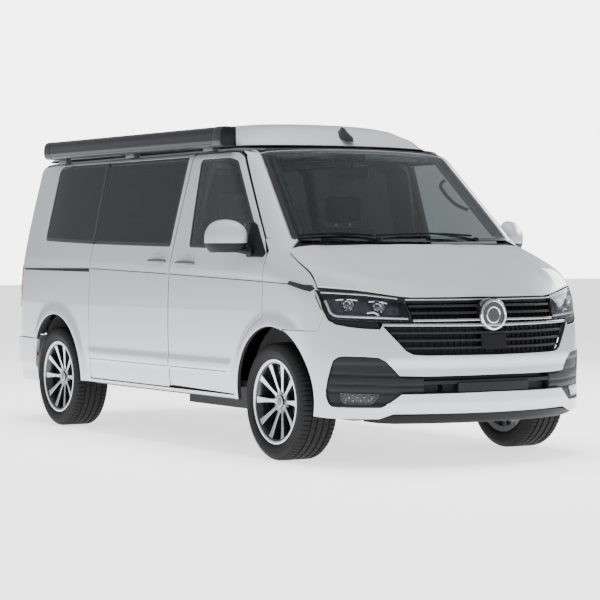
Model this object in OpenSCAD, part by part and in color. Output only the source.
/* [Overall] */
// Wheelbase, front axle to rear axle
wheelbase = 3000; // [2900:10:3100]
// Distance between the centres of the left and right tyres
track = 1628; // [1600:2:1640]
// Width of the body at the waist, without mirrors
body_w = 1904; // [1880:2:1920]
// Height of the fixed roof at the centre line
roof_z = 1860; // [1850:1:1870]
// Height of the closed pop-up roof at its highest point
pop_top_z = 2035; // [2010:1:2050]

/* [Body panels] */
// Gap between neighbouring panels
panel_gap = 6; // [5:0.5:8]
// Whole thickness of a side wall or a door
wall_t = 58; // [50:1:64]
// Depth of the outer skin and flange of a door
door_flange_t = 26; // [20:1:30]
// How far the inner part of a door steps in from its edge
door_step = 26; // [22:1:32]
// Thickness of the hood, fenders and bumpers
skin_t = 28; // [22:1:32]
// Thickness of the window glass
glass_t = 5; // [4:0.5:6]

/* [Wheels] */
// Outer radius of the tyres
tyre_r = 343; // [338:1:346]
// Width of the tyres
tyre_w = 246; // [235:1:255]
// Radius of the rim under the tyre bead
rim_r = 229; // [225:1:232]
// Number of spokes in each rim
spoke_n = 10; // [8:1:12]
// Radius of the wheel arches
arch_r = 405; // [402:1:412]

/* [Interior] */
// Height of the cabin floor
floor_z = 440; // [430:5:460]
// Radius of the steering wheel
steering_r = 185; // [175:1:190]

/* [Hidden] */
$fn = 64;

// The van faces -Y. Its left side, the driver's, is at +X. The ground is z = 0.
front_y = -1544;
rear_y = front_y + wheelbase;
arch_z = 375;

// ---- Outer surface: one smooth field, negative inside, in metres ----
waist_z = 1.10;
tumblehome = 0.225;
screen_foot = [-1.68, 1.27];
screen_head = [-1.02, 1.855];
tail_y = 2.400;

function smax(a, b, k) = let(h = max(k - abs(a - b), 0) / k) max(a, b) + h * h * k / 4;
function smin(a, b, k) = -smax(-a, -b, k);
function ramp(t, e) = 0.5 * (t + sqrt(t * t + e * e));

// Half width: it leans in above the waist, and tapers to the nose and tail
function side_field(x, y, z) = abs(x) - (body_w / 2000
    - tumblehome * ramp(z - waist_z, 0.15)
    - 0.10 * pow(ramp(0.8 - z, 0.1), 2)
    - 0.055 * pow(ramp(-1.75 - y, 0.25), 1.5)
    - 0.11 * pow(ramp(y - 1.45, 0.2), 2));
// The nose is bowed in plan and rolls back under the bumper and over the grille
function nose_field(x, y, z) = (-2.452 + 0.16 * ramp(z - 0.62, 0.12)
    + 0.9 * pow(ramp(z - 0.93, 0.10), 2) + 0.8 * pow(ramp(0.36 - z, 0.10), 2)
    + 0.385 * x * x + 0.17 * pow(x, 6)) - y;
function hood_field(x, y, z) = let(t = y + 2.33)
    0.9 * (z - (0.985 + 0.50 * t - 0.11 * t * t - 0.055 * x * x - 0.06 * pow(x, 4)));
function screen_field(x, y, z) = let(
    run = screen_head[0] - screen_foot[0],
    rise = screen_head[1] - screen_foot[1],
    len = sqrt(run * run + rise * rise))
    (-rise * (y - 0.27 * x * x - screen_foot[0]) + run * (z - screen_foot[1])) / len;
function roof_field(x, y, z) = z - roof_z / 1000 + 0.03 * x * x + 0.02 * ramp(-(y + 0.6), 0.2);
function tail_field(x, y, z) = y - (tail_y - 0.03 * ramp(z - 0.7, 0.2)
    - 0.17 * ramp(z - 1.15, 0.2) - 0.07 * x * x - 0.20 * pow(x, 8));
function body_field(x, y, z) =
    smax(smax(smax(smax(smax(side_field(x, y, z), nose_field(x, y, z), 0.10),
        tail_field(x, y, z), 0.12),
        smin(hood_field(x, y, z), screen_field(x, y, z), 0.03), 0.14),
        roof_field(x, y, z), 0.06), 0.22 - z, 0.05);

// ---- A closed surface of a field: rings along Y, with rounded ends ----
function root_on(o, d, level, lo, hi, n) = n == 0 ? lo : let(
    m = (lo + hi) / 2,
    p = o + m * d)
    body_field(p[0], p[1], p[2]) < level
        ? root_on(o, d, level, m, hi, n - 1)
        : root_on(o, d, level, lo, m, n - 1);

// More directions fall near the corners of the section than on its flat sides
function ring_angle(i, n) = let(a = 360 * (i + 0.5) / n) a + 5.5 * sin(4 * a);

// Rings of points joined into a closed surface, each with the same number of points
module skin_rings(pts, n) {
    nr = len(pts) / n;
    faces = concat(
        [[for (i = [0:n - 1]) i]],
        [for (r = [0:nr - 2], i = [0:n - 1]) let(j = (i + 1) % n) [r * n + i, (r + 1) * n + i, (r + 1) * n + j]],
        [for (r = [0:nr - 2], i = [0:n - 1]) let(j = (i + 1) % n) [r * n + i, (r + 1) * n + j, r * n + j]],
        [[for (i = [n - 1:-1:0]) (nr - 1) * n + i]]);
    polyhedron(pts, faces);
}
spine_y = [-1.55, 1.75];
spine_z = 0.85;
module body_solid(depth) {
    fine = depth < 10;
    n_cap = fine ? 9 : 7;
    n_mid = fine ? 15 : 11;
    n = fine ? 52 : 36;
    caps = [for (i = [0:n_cap - 1]) 90 * (1 - (i + 0.4) / n_cap)];
    rings = concat(
        [for (a = caps) [spine_y[0], -sin(a), cos(a)]],
        [for (i = [0:n_mid]) [spine_y[0] + (spine_y[1] - spine_y[0]) * i / n_mid, 0, 1]],
        [for (i = [n_cap - 1:-1:0]) [spine_y[1], sin(caps[i]), cos(caps[i])]]);
    skin_rings([for (r = rings, i = [0:n - 1]) let(
        a = ring_angle(i, n),
        o = [0, r[0], spine_z],
        d = [r[2] * sin(a), r[1], r[2] * cos(a)])
        1000 * (o + root_on(o, d, -depth / 1000, 0, 2.4, 15) * d)], n);
}
// The wall between two depths below the outer surface
module wall(from, to) {
    difference() {
        body_solid(from);
        body_solid(to);
    }
}
// One mesh of what it holds
module meshed() {
    resize([0, 0, 0]) children();
}
// Extrusions of an outline drawn from the side (y, z), the front (x, z) or above (x, y)
module from_side(x0, x1) {
    translate([x0, 0, 0]) rotate([90, 0, 90]) linear_extrude(x1 - x0) children();
}
module from_front(y0, y1) {
    translate([0, y1, 0]) rotate([90, 0, 0]) linear_extrude(y1 - y0) children();
}
module from_above(z0, z1) {
    translate([0, 0, z0]) linear_extrude(z1 - z0) children();
}
module both_sides() {
    children();
    mirror([1, 0, 0]) children();
}
// s is 1 for the left side and -1 for the right side
module on_side(s) {
    if (s > 0) children();
    else mirror([1, 0, 0]) children();
}
module round_outline(r) {
    offset(r, $fn = 24) offset(-r, $fn = 24) children();
}

// ---- Outlines of the panels ----
module arch(y, r) {
    translate([y, arch_z]) circle(r);
}
arch_band = 54;
door_z = [362, 1822];
module front_door_outline() {
    difference() {
        polygon([[-1430, door_z[0]], [-1430, 1215], [-885, 1797], [-835, door_z[1]],
            [-312, door_z[1]], [-252, 1100], [-252, door_z[0]]]);
        arch(front_y, arch_r + arch_band + panel_gap);
    }
}
module front_door_window() {
    round_outline(35) polygon([[-1374, 1224], [-868, 1768], [-800, 1790], [-420, 1790], [-469, 1240]]);
}
module sliding_door_outline() {
    polygon([[-244, door_z[0]], [-244, 1100], [-304, door_z[1]], [910, door_z[1]], [910, door_z[0]]]);
}
module sliding_window() {
    round_outline(30) polygon([[-218, 1247], [-252, 1792], [864, 1798], [864, 1274]]);
}
module quarter_window() {
    round_outline(35) polygon([[934, 1276], [934, 1799], [1708, 1803], [1734, 1297]]);
}
module rear_side_outline() {
    difference() {
        union() {
            polygon([[-244, 335], [2600, 335], [2600, 1835], [-305, 1835], [-304, door_z[1]], [-244, 1100]]);
            translate([-1078, 335]) square([900, door_z[0] - panel_gap - 335]);
        }
        arch(rear_y, arch_r);
    }
}
module fender_outline() {
    difference() {
        union() {
            polygon([[-1966, 770], [-1436, 770], [-1436, 1218], [-1369, 1289], [-1540, 1289],
                [-2300, 1289], [-2300, 1030], [-2006, 906]]);
            intersection() {
                arch(front_y, arch_r + arch_band);
                translate([front_y, 335]) square([600, 600]);
            }
        }
        arch(front_y, arch_r);
    }
}
hood_half = [[0, -2345], [250, -2322], [507, -2250], [700, -2138], [865, -1988], [872, -1873],
    [867, -1730], [852, -1606], [836, -1578], [500, -1662], [250, -1700], [0, -1712]];
module hood_outline() {
    polygon(concat(hood_half, [for (i = [len(hood_half) - 2:-1:1]) [-hood_half[i][0], hood_half[i][1]]]));
}
module windscreen_outline() {
    polygon([[-778, 1279], [778, 1279], [668, 1808], [600, 1822], [300, 1836], [0, 1840],
        [-300, 1836], [-600, 1822], [-668, 1808]]);
}
module headlight_outline() {
    polygon([[476, 826], [507, 956], [700, 985], [893, 1003], [905, 960], [862, 850], [700, 822]]);
}
module grille_outline() {
    polygon([[-500, 950], [500, 950], [474, 806], [626, 797], [507, 636],
        [-507, 636], [-626, 797], [-474, 806]]);
}
module bumper_trim_outline() {
    polygon(concat(trim_half, [for (i = [len(trim_half) - 1:-1:0]) [-trim_half[i][0], trim_half[i][1]]]));
}
trim_half = [[569, 519], [690, 570], [740, 622], [905, 625], [960, 560], [960, 400], [880, 340],
    [760, 340], [690, 392], [560, 405]];
module bumper_side() {
    difference() {
        polygon([[-2600, 236], [-1544, 236], [-1544, 764], [-1972, 764], [-2012, 900], [-2600, 960]]);
        arch(front_y, arch_r);
    }
}
// The tailgate lies behind gate_y, between these heights
gate_y = 2112;
gate_z = [612, 1790];
module tailgate_outline() {
    polygon([[-725, gate_z[0]], [725, gate_z[0]], [725, 1130], [640, gate_z[1]],
        [-640, gate_z[1]], [-725, 1130]]);
}
module tailgate_window() {
    round_outline(45) polygon([[-640, 1225], [640, 1225], [585, 1715], [-585, 1715]]);
}
module tail_light_outline() {
    translate([731, 814]) square([270, 303]);
}

// ---- Body shell ----
module side_panel(s) {
    on_side(s) meshed() difference() {
        intersection() {
            wall(0, wall_t);
            from_side(640, 1000) rear_side_outline();
        }
        from_side(640, 1000) children();
        from_side(640, 1000) quarter_window();
        from_front(gate_y - 12, 2700) offset(delta = panel_gap) tailgate_outline();
        from_front(gate_y - 12, 2700) tail_light_outline();
        from_side(0, 1000) translate([1700, 236]) square([900, 364]);
    }
}
module body_side_left() {
    color("gainsboro") side_panel(1) sliding_window();
}
module body_side_right() {
    color("gainsboro") side_panel(-1) offset(delta = panel_gap) sliding_door_outline();
}
module roof_frame() {
    color("gainsboro") meshed() difference() {
        intersection() {
            body_solid(0);
            union() {
                translate([-1000, -846, 1835]) cube([2000, 3300, 100]);
                translate([-640, 2190, gate_z[1] + 7]) cube([1280, 200, 60]);
            }
        }
        from_above(1800, 1900) translate([-600, -640]) square([1200, 2560]);
    }
}
module windscreen_frame() {
    color("dimgray") meshed() difference() {
        intersection() {
            wall(0, 45);
            from_side(-1000, 1000) polygon([[-1760, 1110], [-1436, 1110], [-1436, 1218], [-889, 1803],
                [-846, 1826], [-846, 1900], [-1760, 1900]]);
        }
        from_front(-1800, -700) windscreen_outline();
        from_above(1000, 1400) offset(delta = panel_gap) hood_outline();
        both_sides() from_side(800, 1000) fender_outline();
    }
}
module housing(y, r, x0, x1) {
    translate([0, y, arch_z]) both_sides() difference() {
        translate([x0, 0, 0]) rotate([0, 90, 0]) cylinder(h = x1 - x0, r = r + 8);
        translate([x0 + 8, 0, 0]) rotate([0, 90, 0]) cylinder(h = x1 - x0, r = r);
        translate([x0 - 5, -r - 50, -r - 50]) cube([x1 - x0 + 20, 2 * r + 100, r + 50]);
    }
}
module floor_pan() {
    color("darkslategray") union() {
        difference() {
            from_above(floor_z - 40, floor_z) polygon([[-864, -1110], [864, -1110], [864, 1500],
                [800, 1950], [696, 2262], [-696, 2262], [-800, 1950], [-864, 1500]]);
            both_sides() translate([642, rear_y - 420, 0]) cube([400, 840, 1000]);
        }
        translate([-454, -1530, floor_z - 40]) cube([908, 430, 40]);
        translate([-454, -1530, 300]) cube([908, 10, 520]);
        translate([-800, -1530, 816]) cube([1600, 10, 330]);
        housing(rear_y, 412, 642, 862);
        housing(front_y, 426, 454, 830);
    }
}
module front_fenders() {
    color("gainsboro") both_sides() meshed() difference() {
        intersection() {
            wall(0, skin_t);
            from_side(800, 1000) fender_outline();
        }
        from_above(800, 1400) offset(delta = panel_gap) hood_outline();
        from_front(-2600, -1880) offset(delta = 2) headlight_outline();
        from_front(-1800, -700) windscreen_outline();
    }
}
module hood() {
    color("whitesmoke") meshed() intersection() {
        wall(0, skin_t);
        from_above(900, 1400) hood_outline();
    }
}
module front_bumper() {
    color("gainsboro") meshed() difference() {
        intersection() {
            wall(0, skin_t);
            from_side(-1000, 1000) bumper_side();
        }
        from_above(800, 1400) offset(delta = panel_gap) hood_outline();
        from_front(-2600, -1800) both_front() offset(delta = 2) headlight_outline();
        from_front(-2600, -1800) grille_outline();
        from_front(-2600, -1800) translate([-520, 850]) square([1040, 120]);
        from_front(-2600, -1800) bumper_trim_outline();
    }
}
module both_front() {
    children();
    mirror([1, 0]) children();
}
module grille() {
    color("black") meshed() difference() {
        intersection() {
            wall(8, 40);
            from_front(-2600, -1800) grille_outline();
        }
        from_above(800, 1400) offset(delta = panel_gap) hood_outline();
        from_front(-2600, -1800) both_front() offset(delta = 2) headlight_outline();
    }
}
module headlights() {
    color("lightcyan") both_sides() meshed() difference() {
        intersection() {
            wall(1, 60);
            from_front(-2600, -1880) headlight_outline();
        }
        from_above(800, 1400) offset(delta = panel_gap) hood_outline();
    }
}
module windscreen() {
    color("darkslategray") meshed() intersection() {
        wall(3, 3 + glass_t);
        from_front(-1760, -700) windscreen_outline();
    }
}

// ---- Doors, lids and their glass ----
module front_door(s) {
    on_side(s) meshed() difference() {
        union() {
            intersection() {
                wall(0, door_flange_t);
                from_side(600, 1000) front_door_outline();
            }
            intersection() {
                wall(door_flange_t - 1, wall_t);
                from_side(600, 1000) offset(delta = -door_step) front_door_outline();
            }
        }
        from_side(600, 1000) front_door_window();
    }
}
module pane(s, from = 3) {
    on_side(s) meshed() intersection() {
        wall(from, from + glass_t);
        from_side(600, 1000) children();
    }
}
module front_door_left() {
    color("gainsboro") front_door(1);
}
module front_door_right() {
    color("gainsboro") front_door(-1);
}
module front_door_glass_left() {
    color("slategray") pane(1) front_door_window();
}
module front_door_glass_right() {
    color("slategray") pane(-1) front_door_window();
}
module mirror_unit(s) {
    on_side(s) {
        hull() {
            translate([975, -1185, 1252]) scale([1, 2, 1]) sphere(42, $fn = 14);
            translate([1100, -1150, 1254]) scale([1, 1.7, 1]) sphere(42, $fn = 14);
            translate([1090, -1150, 1352]) scale([1, 1.5, 1]) sphere(50, $fn = 14);
            translate([990, -1185, 1354]) scale([1, 1.9, 1]) sphere(46, $fn = 14);
        }
        hull() {
            translate([923, -1225, 1205]) cube([25, 90, 18]);
            translate([960, -1200, 1235]) cube([25, 50, 30]);
        }
    }
}
module mirror_left() {
    color("whitesmoke") mirror_unit(1);
}
module mirror_right() {
    color("whitesmoke") mirror_unit(-1);
}
module sliding_door() {
    color("gainsboro") on_side(-1) meshed() difference() {
        intersection() {
            wall(0, wall_t);
            from_side(640, 1000) sliding_door_outline();
        }
        from_side(600, 1000) sliding_window();
    }
}
module side_windows() {
    color("darkslategray") {
        for (s = [-1, 1]) {
            pane(s) sliding_window();
            pane(s) quarter_window();
        }
    }
}
module tailgate() {
    color("gainsboro") meshed() difference() {
        intersection() {
            wall(0, 50);
            from_front(gate_y, 2700) tailgate_outline();
        }
        from_front(gate_y, 2700) tailgate_window();
    }
}
module tailgate_glass() {
    color("darkslategray") meshed() intersection() {
        wall(3, 3 + glass_t);
        from_front(1900, 2700) tailgate_window();
    }
}
module tail_lights() {
    color("firebrick") both_sides() meshed() intersection() {
        wall(0, 45);
        from_front(2100, 2700) tail_light_outline();
    }
}
module rear_bumper() {
    color("gainsboro") meshed() difference() {
        intersection() {
            translate([0, 52, 0]) wall(0, skin_t);
            from_side(-1000, 1000) difference() {
                translate([1750, 290]) square([800, 306]);
                arch(rear_y, arch_r);
            }
        }
        from_front(2200, 2700) tow_access(rear_eye_x);
    }
}
module bumper_trim() {
    color("dimgray") meshed() difference() {
        intersection() {
            wall(4, 44);
            from_front(-2600, -1800) bumper_trim_outline();
        }
        from_side(-1000, 1000) arch(front_y, arch_r);
        from_front(-2600, -2200) tow_access(front_eye_x);
    }
}

// ---- Pop-up roof, bellows and awning ----
// Stations along the roof: [y, height above its rim, half width]
pop_rim_z = 1868;
pop_h = pop_top_z - pop_rim_z;
pop_rings = [[-905, 4, 655], [-880, 30, 668], [-845, 62, 678], [-800, 94, 688], [-740, 118, 697],
    [-650, 140, 705], [-500, 158, 711], [-300, pop_h, 714], [0, pop_h, 715], [500, pop_h - 3, 715],
    [1000, pop_h - 10, 714], [1500, pop_h - 20, 710], [1800, pop_h - 30, 706], [1950, pop_h - 46, 702],
    [2030, pop_h - 74, 697], [2075, pop_h - 106, 690], [2100, 8, 680]];
pop_bow = 170;
// Half of the section, from the rim up over the round shoulder to the crown
function pop_section(h, w, n) = [for (i = [0:n]) let(
    a = 180 * (1 - i / n),
    x = w * (cos(a) < 0 ? -1 : 1) * pow(abs(cos(a)), 0.5),
    z = h * pow(sin(a), 0.62))
    [x * (1 - 0.055 * z / pop_h), z - 0.03 * x * x / 1000 * min(1, h / 60)]];
module pop_solid(inset) {
    n = 22;
    skin_rings([for (r = pop_rings) let(
        h = max(r[1] - inset, 1),
        w = r[2] - inset,
        y = r[0] + inset * (r[0] < 0 ? 1 : -1) * (abs(r[0] - 600) > 1000 ? 1 : 0))
        for (p = pop_section(h, w, n))
        [p[0], y + pop_bow * pow(p[0] / 700, 2) * max(0, min(1, (-300 - r[0]) / 600)),
            pop_rim_z - (inset > 0 ? 5 : 0) + max(p[1], 0) + 0.001 * abs(p[0])]], n + 1);
}
module pop_up_roof() {
    color("whitesmoke") meshed() difference() {
        pop_solid(0);
        pop_solid(26);
    }
}
bellows = [[-636, -540], [636, 1940]];
module roof_bellows() {
    color("slategray") difference() {
        translate([bellows[0][0], bellows[0][1], 1862])
            cube([bellows[1][0] - bellows[0][0], bellows[1][1] - bellows[0][1], 36]);
        translate([bellows[0][0] + 34, bellows[0][1] + 34, 1800])
            cube([bellows[1][0] - bellows[0][0] - 68, bellows[1][1] - bellows[0][1] - 68, 200]);
    }
}
awning_y = [-800, 1800];
// Rectangle with round corners, from its lower corner
module soft_rect(w, h, r) {
    translate([r, 0]) square([w - 2 * r, h]);
    translate([0, r]) square([w, h - 2 * r]);
    for (x = [r, w - r], z = [r, h - r]) translate([x, z]) circle(r);
}
module awning() {
    color("dimgray") {
        hull() {
            translate([-876, 0, 1854]) from_front(awning_y[0], awning_y[0] + 10) soft_rect(122, 126, 34);
            translate([-876, 0, 1868]) from_front(awning_y[1] - 10, awning_y[1]) soft_rect(122, 126, 34);
        }
        for (y = [-560, 530, 1600]) translate([-800, y, 1842]) cube([44, 120, 34]);
    }
}

// ---- Cabin ----
module dashboard() {
    color("dimgray") {
        from_side(-740, 740) polygon([[-1500, 880], [-1500, 1170], [-1340, 1200], [-1140, 1130],
            [-1095, 1030], [-1160, 840], [-1330, 790], [-1440, 830]]);
        translate(wheel_hub) rotate([wheel_tilt, 0, 0]) translate([0, 0, -150]) cylinder(h = 128, r = 32);
    }
}
wheel_hub = [400, -985, 1085];
// The steering wheel faces the driver, leaning back from upright
wheel_tilt = -65;
module steering_wheel() {
    color("black") translate(wheel_hub) rotate([wheel_tilt, 0, 0]) {
        rotate_extrude() translate([steering_r - 15, 0]) circle(15);
        translate([0, 0, -20]) cylinder(h = 34, r = 62);
        for (a = [0, 180, 270]) rotate([0, 0, a]) translate([40, -16, -8]) cube([steering_r - 55, 32, 14]);
    }
}
module seat(w) {
    hull() {
        translate([-w / 2, -240, 0]) cube([w, 470, 60]);
        translate([-w / 2 + 30, -210, 100]) cube([w - 60, 430, 30]);
    }
    hull() {
        translate([-w / 2, 235, 60]) cube([w, 60, 60]);
        translate([-w / 2 + 40, 335, 600]) cube([w - 80, 80, 40]);
        translate([-w / 2, 275, 420]) cube([w, 70, 60]);
    }
    for (x = [-60, 60]) translate([x, 382, 620]) cylinder(h = 80, r = 7);
    hull() {
        translate([-130, 350, 690]) cube([260, 60, 150]);
        translate([-110, 340, 670]) cube([220, 75, 190]);
    }
}
module front_seats() {
    color("dimgray") for (x = [-400, 400]) translate([x, -560, 0]) {
        translate([0, 0, 720]) seat(500);
        translate([-190, -200, floor_z]) cube([380, 390, 280]);
    }
}
module rear_bench() {
    color("dimgray") {
        translate([-80, 1150, 760]) seat(1080);
        translate([-610, 960, floor_z]) cube([1060, 420, 320]);
    }
}
module kitchen_unit() {
    color("silver") translate([545, -60, floor_z]) cube([290, 940, 700]);
}

// ---- Chassis ----
module engine_block() {
    color("gray") translate([-340, -2060, 330]) cube([680, 480, 520]);
}
module front_subframe() {
    color("dimgray") {
        translate([-430, front_y - 70, 215]) cube([860, 140, 70]);
        both_sides() {
            translate([380, front_y - 30, 262]) cube([235, 60, 24]);
            translate([612, front_y, 286]) cylinder(h = 504, r = 34);
            translate([390, -2280, 385]) cube([64, 740, 90]);
        }
        difference() {
            union() {
                translate([-520, -2290, 400]) cube([1040, 34, 90]);
                translate([front_eye_x, -2256, tow_eye_z]) rotate([90, 0, 0]) cylinder(h = 84, r = 19);
            }
            translate([front_eye_x, -2200, tow_eye_z]) rotate([90, 0, 0]) cylinder(h = 160, r = tow_eye_r);
        }
    }
}
tow_eye_r = 10;
tow_eye_z = 445;
front_eye_x = -350;
rear_eye_x = -550;
// Round hole in a bumper in front of its tow eye
module tow_access(x) {
    translate([x, tow_eye_z]) circle(24);
}
module knuckle(s) {
    color("gray") on_side(s) translate([0, front_y, tyre_r]) {
        rotate([0, 90, 0]) {
            translate([0, 0, 700]) cylinder(h = 157, r = 62);
            difference() {
                translate([0, 0, 776]) cylinder(h = 26, r = 155);
                translate([0, 0, 770]) cylinder(h = 40, r = 62);
            }
        }
        translate([690, -45, -110]) cube([46, 90, 220]);
        translate([690, 60, -60]) cube([150, 80, 120]);
    }
}
module knuckle_left() {
    knuckle(1);
}
module knuckle_right() {
    knuckle(-1);
}
module rear_beam() {
    difference() {
        union() {
            translate([-560, 2290, 332]) cube([1120, 34, 158]);
            translate([-560, 1900, 332]) cube([60, 424, 60]);
            translate([500, 1900, 332]) cube([60, 424, 60]);
            translate([rear_eye_x, 2276, tow_eye_z]) rotate([-90, 0, 0]) cylinder(h = 84, r = 19);
        }
        translate([rear_eye_x, 2200, tow_eye_z]) rotate([-90, 0, 0]) cylinder(h = 200, r = tow_eye_r);
    }
}
module rear_axle() {
    color("gray") {
        rear_beam();
        translate([-640, rear_y - 60, 290]) cube([1280, 70, 80]);
        both_sides() {
            translate([560, 830, 326]) cube([70, 640, 70]);
            translate([500, 830, 326]) cube([130, 60, 70]);
            translate([0, rear_y, tyre_r]) rotate([0, 90, 0]) {
                translate([0, 0, 600]) cylinder(h = 120, r = 28);
                translate([0, 0, 700]) cylinder(h = 157, r = 60);
                translate([0, 0, 776]) cylinder(h = 22, r = 150);
            }
        }
    }
}
module fuel_tank() {
    color("dimgray") {
        translate([-480, -560, 215]) cube([640, 900, 184]);
        translate([250, -400, 260]) rotate([-90, 0, 0]) cylinder(h = 2360, r = 30);
        translate([250, 1700, 290]) rotate([-90, 0, 0]) cylinder(h = 420, r = 80);
    }
}

// ---- Wheels, turned about +X with their outer face outboard ----
module at_wheel(s, y) {
    translate([s * track / 2, y, tyre_r]) rotate([0, s * 90, 0]) children();
}
module tyre() {
    half = tyre_w / 2;
    color("black") rotate_extrude($fn = 96) polygon([[rim_r, -102], [251, -102], [259, 6 - half],
        [286, -half], [316, 4 - half], [336, 16 - half], [tyre_r, 36 - half],
        [tyre_r, half - 36], [336, half - 16], [316, half - 4], [286, half], [259, half - 6],
        [251, 102], [rim_r, 102]]);
}
module rim() {
    color("silver") {
        rotate_extrude($fn = 96) polygon([[210, -110], [248, -112], [248, -103], [rim_r, -102],
            [rim_r, 102], [248, 103], [248, 112], [214, 104], [210, 90]]);
        for (i = [0:spoke_n - 1]) rotate([0, 0, 360 * (i + 0.5) / spoke_n]) translate([0, 0, 62])
            linear_extrude(24) polygon([[55, -6], [140, -10], [212, -19], [212, 19], [140, 10], [55, 6]]);
        translate([0, 0, 44]) cylinder(h = 36, r = 72);
        translate([0, 0, 80]) cylinder(h = 6, r = 33);
    }
}
module rim_front_left() {
    at_wheel(1, front_y) rim();
}
module rim_front_right() {
    at_wheel(-1, front_y) rim();
}
module rim_rear_left() {
    at_wheel(1, rear_y) rim();
}
module rim_rear_right() {
    at_wheel(-1, rear_y) rim();
}
module tyre_front_left() {
    at_wheel(1, front_y) tyre();
}
module tyre_front_right() {
    at_wheel(-1, front_y) tyre();
}
module tyre_rear_left() {
    at_wheel(1, rear_y) tyre();
}
module tyre_rear_right() {
    at_wheel(-1, rear_y) tyre();
}

body_side_left();
body_side_right();
roof_frame();
windscreen_frame();
floor_pan();
front_fenders();
hood();
front_bumper();
bumper_trim();
grille();
headlights();
windscreen();
front_door_left();
front_door_right();
front_door_glass_left();
front_door_glass_right();
mirror_left();
mirror_right();
sliding_door();
side_windows();
tailgate();
tailgate_glass();
tail_lights();
rear_bumper();
pop_up_roof();
roof_bellows();
awning();
dashboard();
steering_wheel();
front_seats();
rear_bench();
kitchen_unit();
engine_block();
front_subframe();
knuckle_left();
knuckle_right();
rear_axle();
fuel_tank();
rim_front_left();
rim_front_right();
rim_rear_left();
rim_rear_right();
tyre_front_left();
tyre_front_right();
tyre_rear_left();
tyre_rear_right();
